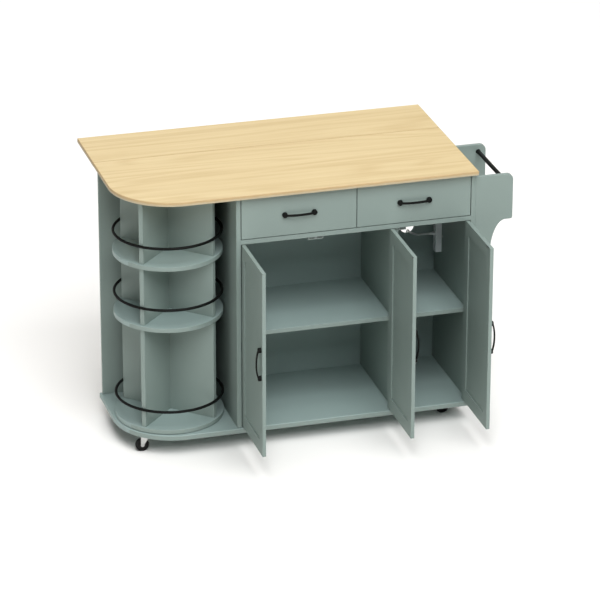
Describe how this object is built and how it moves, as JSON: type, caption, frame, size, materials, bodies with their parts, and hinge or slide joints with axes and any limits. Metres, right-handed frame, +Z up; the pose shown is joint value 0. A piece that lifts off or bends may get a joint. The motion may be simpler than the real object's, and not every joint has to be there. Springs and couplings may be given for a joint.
{
  "type": "drop leaf kitchen island",
  "caption": "Kitchen island on casters with a hinged rear leaf, shaker doors, drawers, a revolving corner rack, a towel rail and an inside power outlet.",
  "frame": {"origin": "on the floor, under the middle of the island's outline with its doors open and its leaf raised", "axes": "+X to the right along the front, +Y to the back, +Z up"},
  "size_m": [1.328, 0.8784, 0.914],
  "materials": {
    "paint": "satin sage green paint on board",
    "timber": "pale straight-grained wood, matt lacquer",
    "drawer_wood": "raw pale wood",
    "black_metal": "matt black powder coat",
    "steel": "zinc plated",
    "wheel_black": "matt black tread",
    "outlet_grey": "fine matt moulding",
    "lead_grey": "smooth flexible sheath"
  },
  "bodies": {
    "cabinet": {"base_board": "paint", "side_panel_left": "paint", "side_panel_right": "paint", "divider": "paint", "cabinet_back": "paint", "bay_back": "paint", "drawer_deck": "paint", "drawer_partition": "paint", "shelf_left": "paint", "shelf_right": "paint", "worktop": "timber", "door_catches": "paint", "door_pivots": "steel", "towel_brackets": "paint", "towel_rail": "black_metal", "drawer_runners": "steel", "outlet_box": "outlet_grey", "lead_sleeve": "outlet_grey", "lead": "lead_grey", "lead_coil": "lead_grey", "plug": "lead_grey", "rack_pivots": "steel", "leaf_hinges": "steel", "leaf_bracket_rails": "steel", "caster_plates": "steel"},
    "leaf": {"drop_leaf": "timber", "leaf_hinge_flaps": "steel", "leaf_channels": "steel"},
    "leaf_support": {"leaf_braces": "steel"},
    "rack": {"rack_disc_bottom": "paint", "rack_disc_middle": "paint", "rack_disc_top": "paint", "rack_fins": "paint", "guard_rings": "black_metal", "turntable_plate": "steel"},
    "door_left": {"door_left_frame": "paint", "door_left_panel": "paint", "door_left_handle": "black_metal"},
    "door_middle": {"door_middle_frame": "paint", "door_middle_panel": "paint", "door_middle_handle": "black_metal"},
    "door_right": {"door_right_frame": "paint", "door_right_panel": "paint", "door_right_handle": "black_metal"},
    "drawer_left": {"drawer_left_front": "paint", "drawer_left_box": "drawer_wood", "drawer_left_handle": "black_metal", "drawer_left_slides": "steel"},
    "drawer_right": {"drawer_right_front": "paint", "drawer_right_box": "drawer_wood", "drawer_right_handle": "black_metal", "drawer_right_slides": "steel"},
    "caster_fl": {"caster_fork_fl": "steel"},
    "wheel_fl": {"caster_wheel_fl": "wheel_black"},
    "caster_fr": {"caster_fork_fr": "steel"},
    "wheel_fr": {"caster_wheel_fr": "wheel_black"},
    "caster_bl": {"caster_fork_bl": "steel"},
    "wheel_bl": {"caster_wheel_bl": "wheel_black"},
    "caster_br": {"caster_fork_br": "steel"},
    "wheel_br": {"caster_wheel_br": "wheel_black"}
  },
  "joints": [
    {"name": "door_left_swing", "type": "hinge", "parent": "cabinet", "child": "door_left", "pos_m": [-0.2585, -0.18725, 0.4], "axis": [0, 0, 1], "range_deg": [0, 90]},
    {"name": "door_middle_swing", "type": "hinge", "parent": "cabinet", "child": "door_middle", "pos_m": [0.248, -0.18725, 0.4], "axis": [0, 0, 1], "range_deg": [-90, 0]},
    {"name": "door_right_swing", "type": "hinge", "parent": "cabinet", "child": "door_right", "pos_m": [0.5095, -0.18725, 0.4], "axis": [0, 0, 1], "range_deg": [-90, 0]},
    {"name": "drawer_left_slide", "type": "slide", "parent": "cabinet", "child": "drawer_left", "axis": [0, -1, 0], "range_m": [0, 0.25]},
    {"name": "drawer_right_slide", "type": "slide", "parent": "cabinet", "child": "drawer_right", "axis": [0, -1, 0], "range_m": [0, 0.25]},
    {"name": "leaf_drop", "type": "hinge", "parent": "cabinet", "child": "leaf", "pos_m": [-0.064, 0.204, 0.894], "axis": [1, 0, 0], "range_deg": [-90, 0]},
    {"name": "brace_fold", "type": "hinge", "parent": "cabinet", "child": "leaf_support", "pos_m": [-0.064, 0.19925, 0.814], "axis": [1, 0, 0], "range_deg": [-121.91, 0]},
    {"name": "rack_turn", "type": "hinge", "parent": "cabinet", "child": "rack", "pos_m": [-0.4675, -0.00775, 0.2], "axis": [0, 0, 1], "continuous": true},
    {"name": "caster_fl_swivel", "type": "hinge", "parent": "cabinet", "child": "caster_fl", "pos_m": [-0.578, -0.11475, 0.05], "axis": [0, 0, 1], "continuous": true},
    {"name": "wheel_fl_roll", "type": "hinge", "parent": "caster_fl", "child": "wheel_fl", "pos_m": [-0.59, -0.11475, 0.0225], "axis": [0, 1, 0], "continuous": true},
    {"name": "caster_fr_swivel", "type": "hinge", "parent": "cabinet", "child": "caster_fr", "pos_m": [0.473, -0.10125, 0.05], "axis": [0, 0, 1], "continuous": true},
    {"name": "wheel_fr_roll", "type": "hinge", "parent": "caster_fr", "child": "wheel_fr", "pos_m": [0.461, -0.10125, 0.0225], "axis": [0, 1, 0], "continuous": true},
    {"name": "caster_bl_swivel", "type": "hinge", "parent": "cabinet", "child": "caster_bl", "pos_m": [-0.578, 0.11475, 0.05], "axis": [0, 0, 1], "continuous": true},
    {"name": "wheel_bl_roll", "type": "hinge", "parent": "caster_bl", "child": "wheel_bl", "pos_m": [-0.59, 0.11475, 0.0225], "axis": [0, 1, 0], "continuous": true},
    {"name": "caster_br_swivel", "type": "hinge", "parent": "cabinet", "child": "caster_br", "pos_m": [0.477, 0.11475, 0.05], "axis": [0, 0, 1], "continuous": true},
    {"name": "wheel_br_roll", "type": "hinge", "parent": "caster_br", "child": "wheel_br", "pos_m": [0.465, 0.11475, 0.0225], "axis": [0, 1, 0], "continuous": true}
  ],
  "couplings": [
    {"joint": "brace_fold", "follows": "leaf_drop", "ratio": 1.3545}
  ]
}
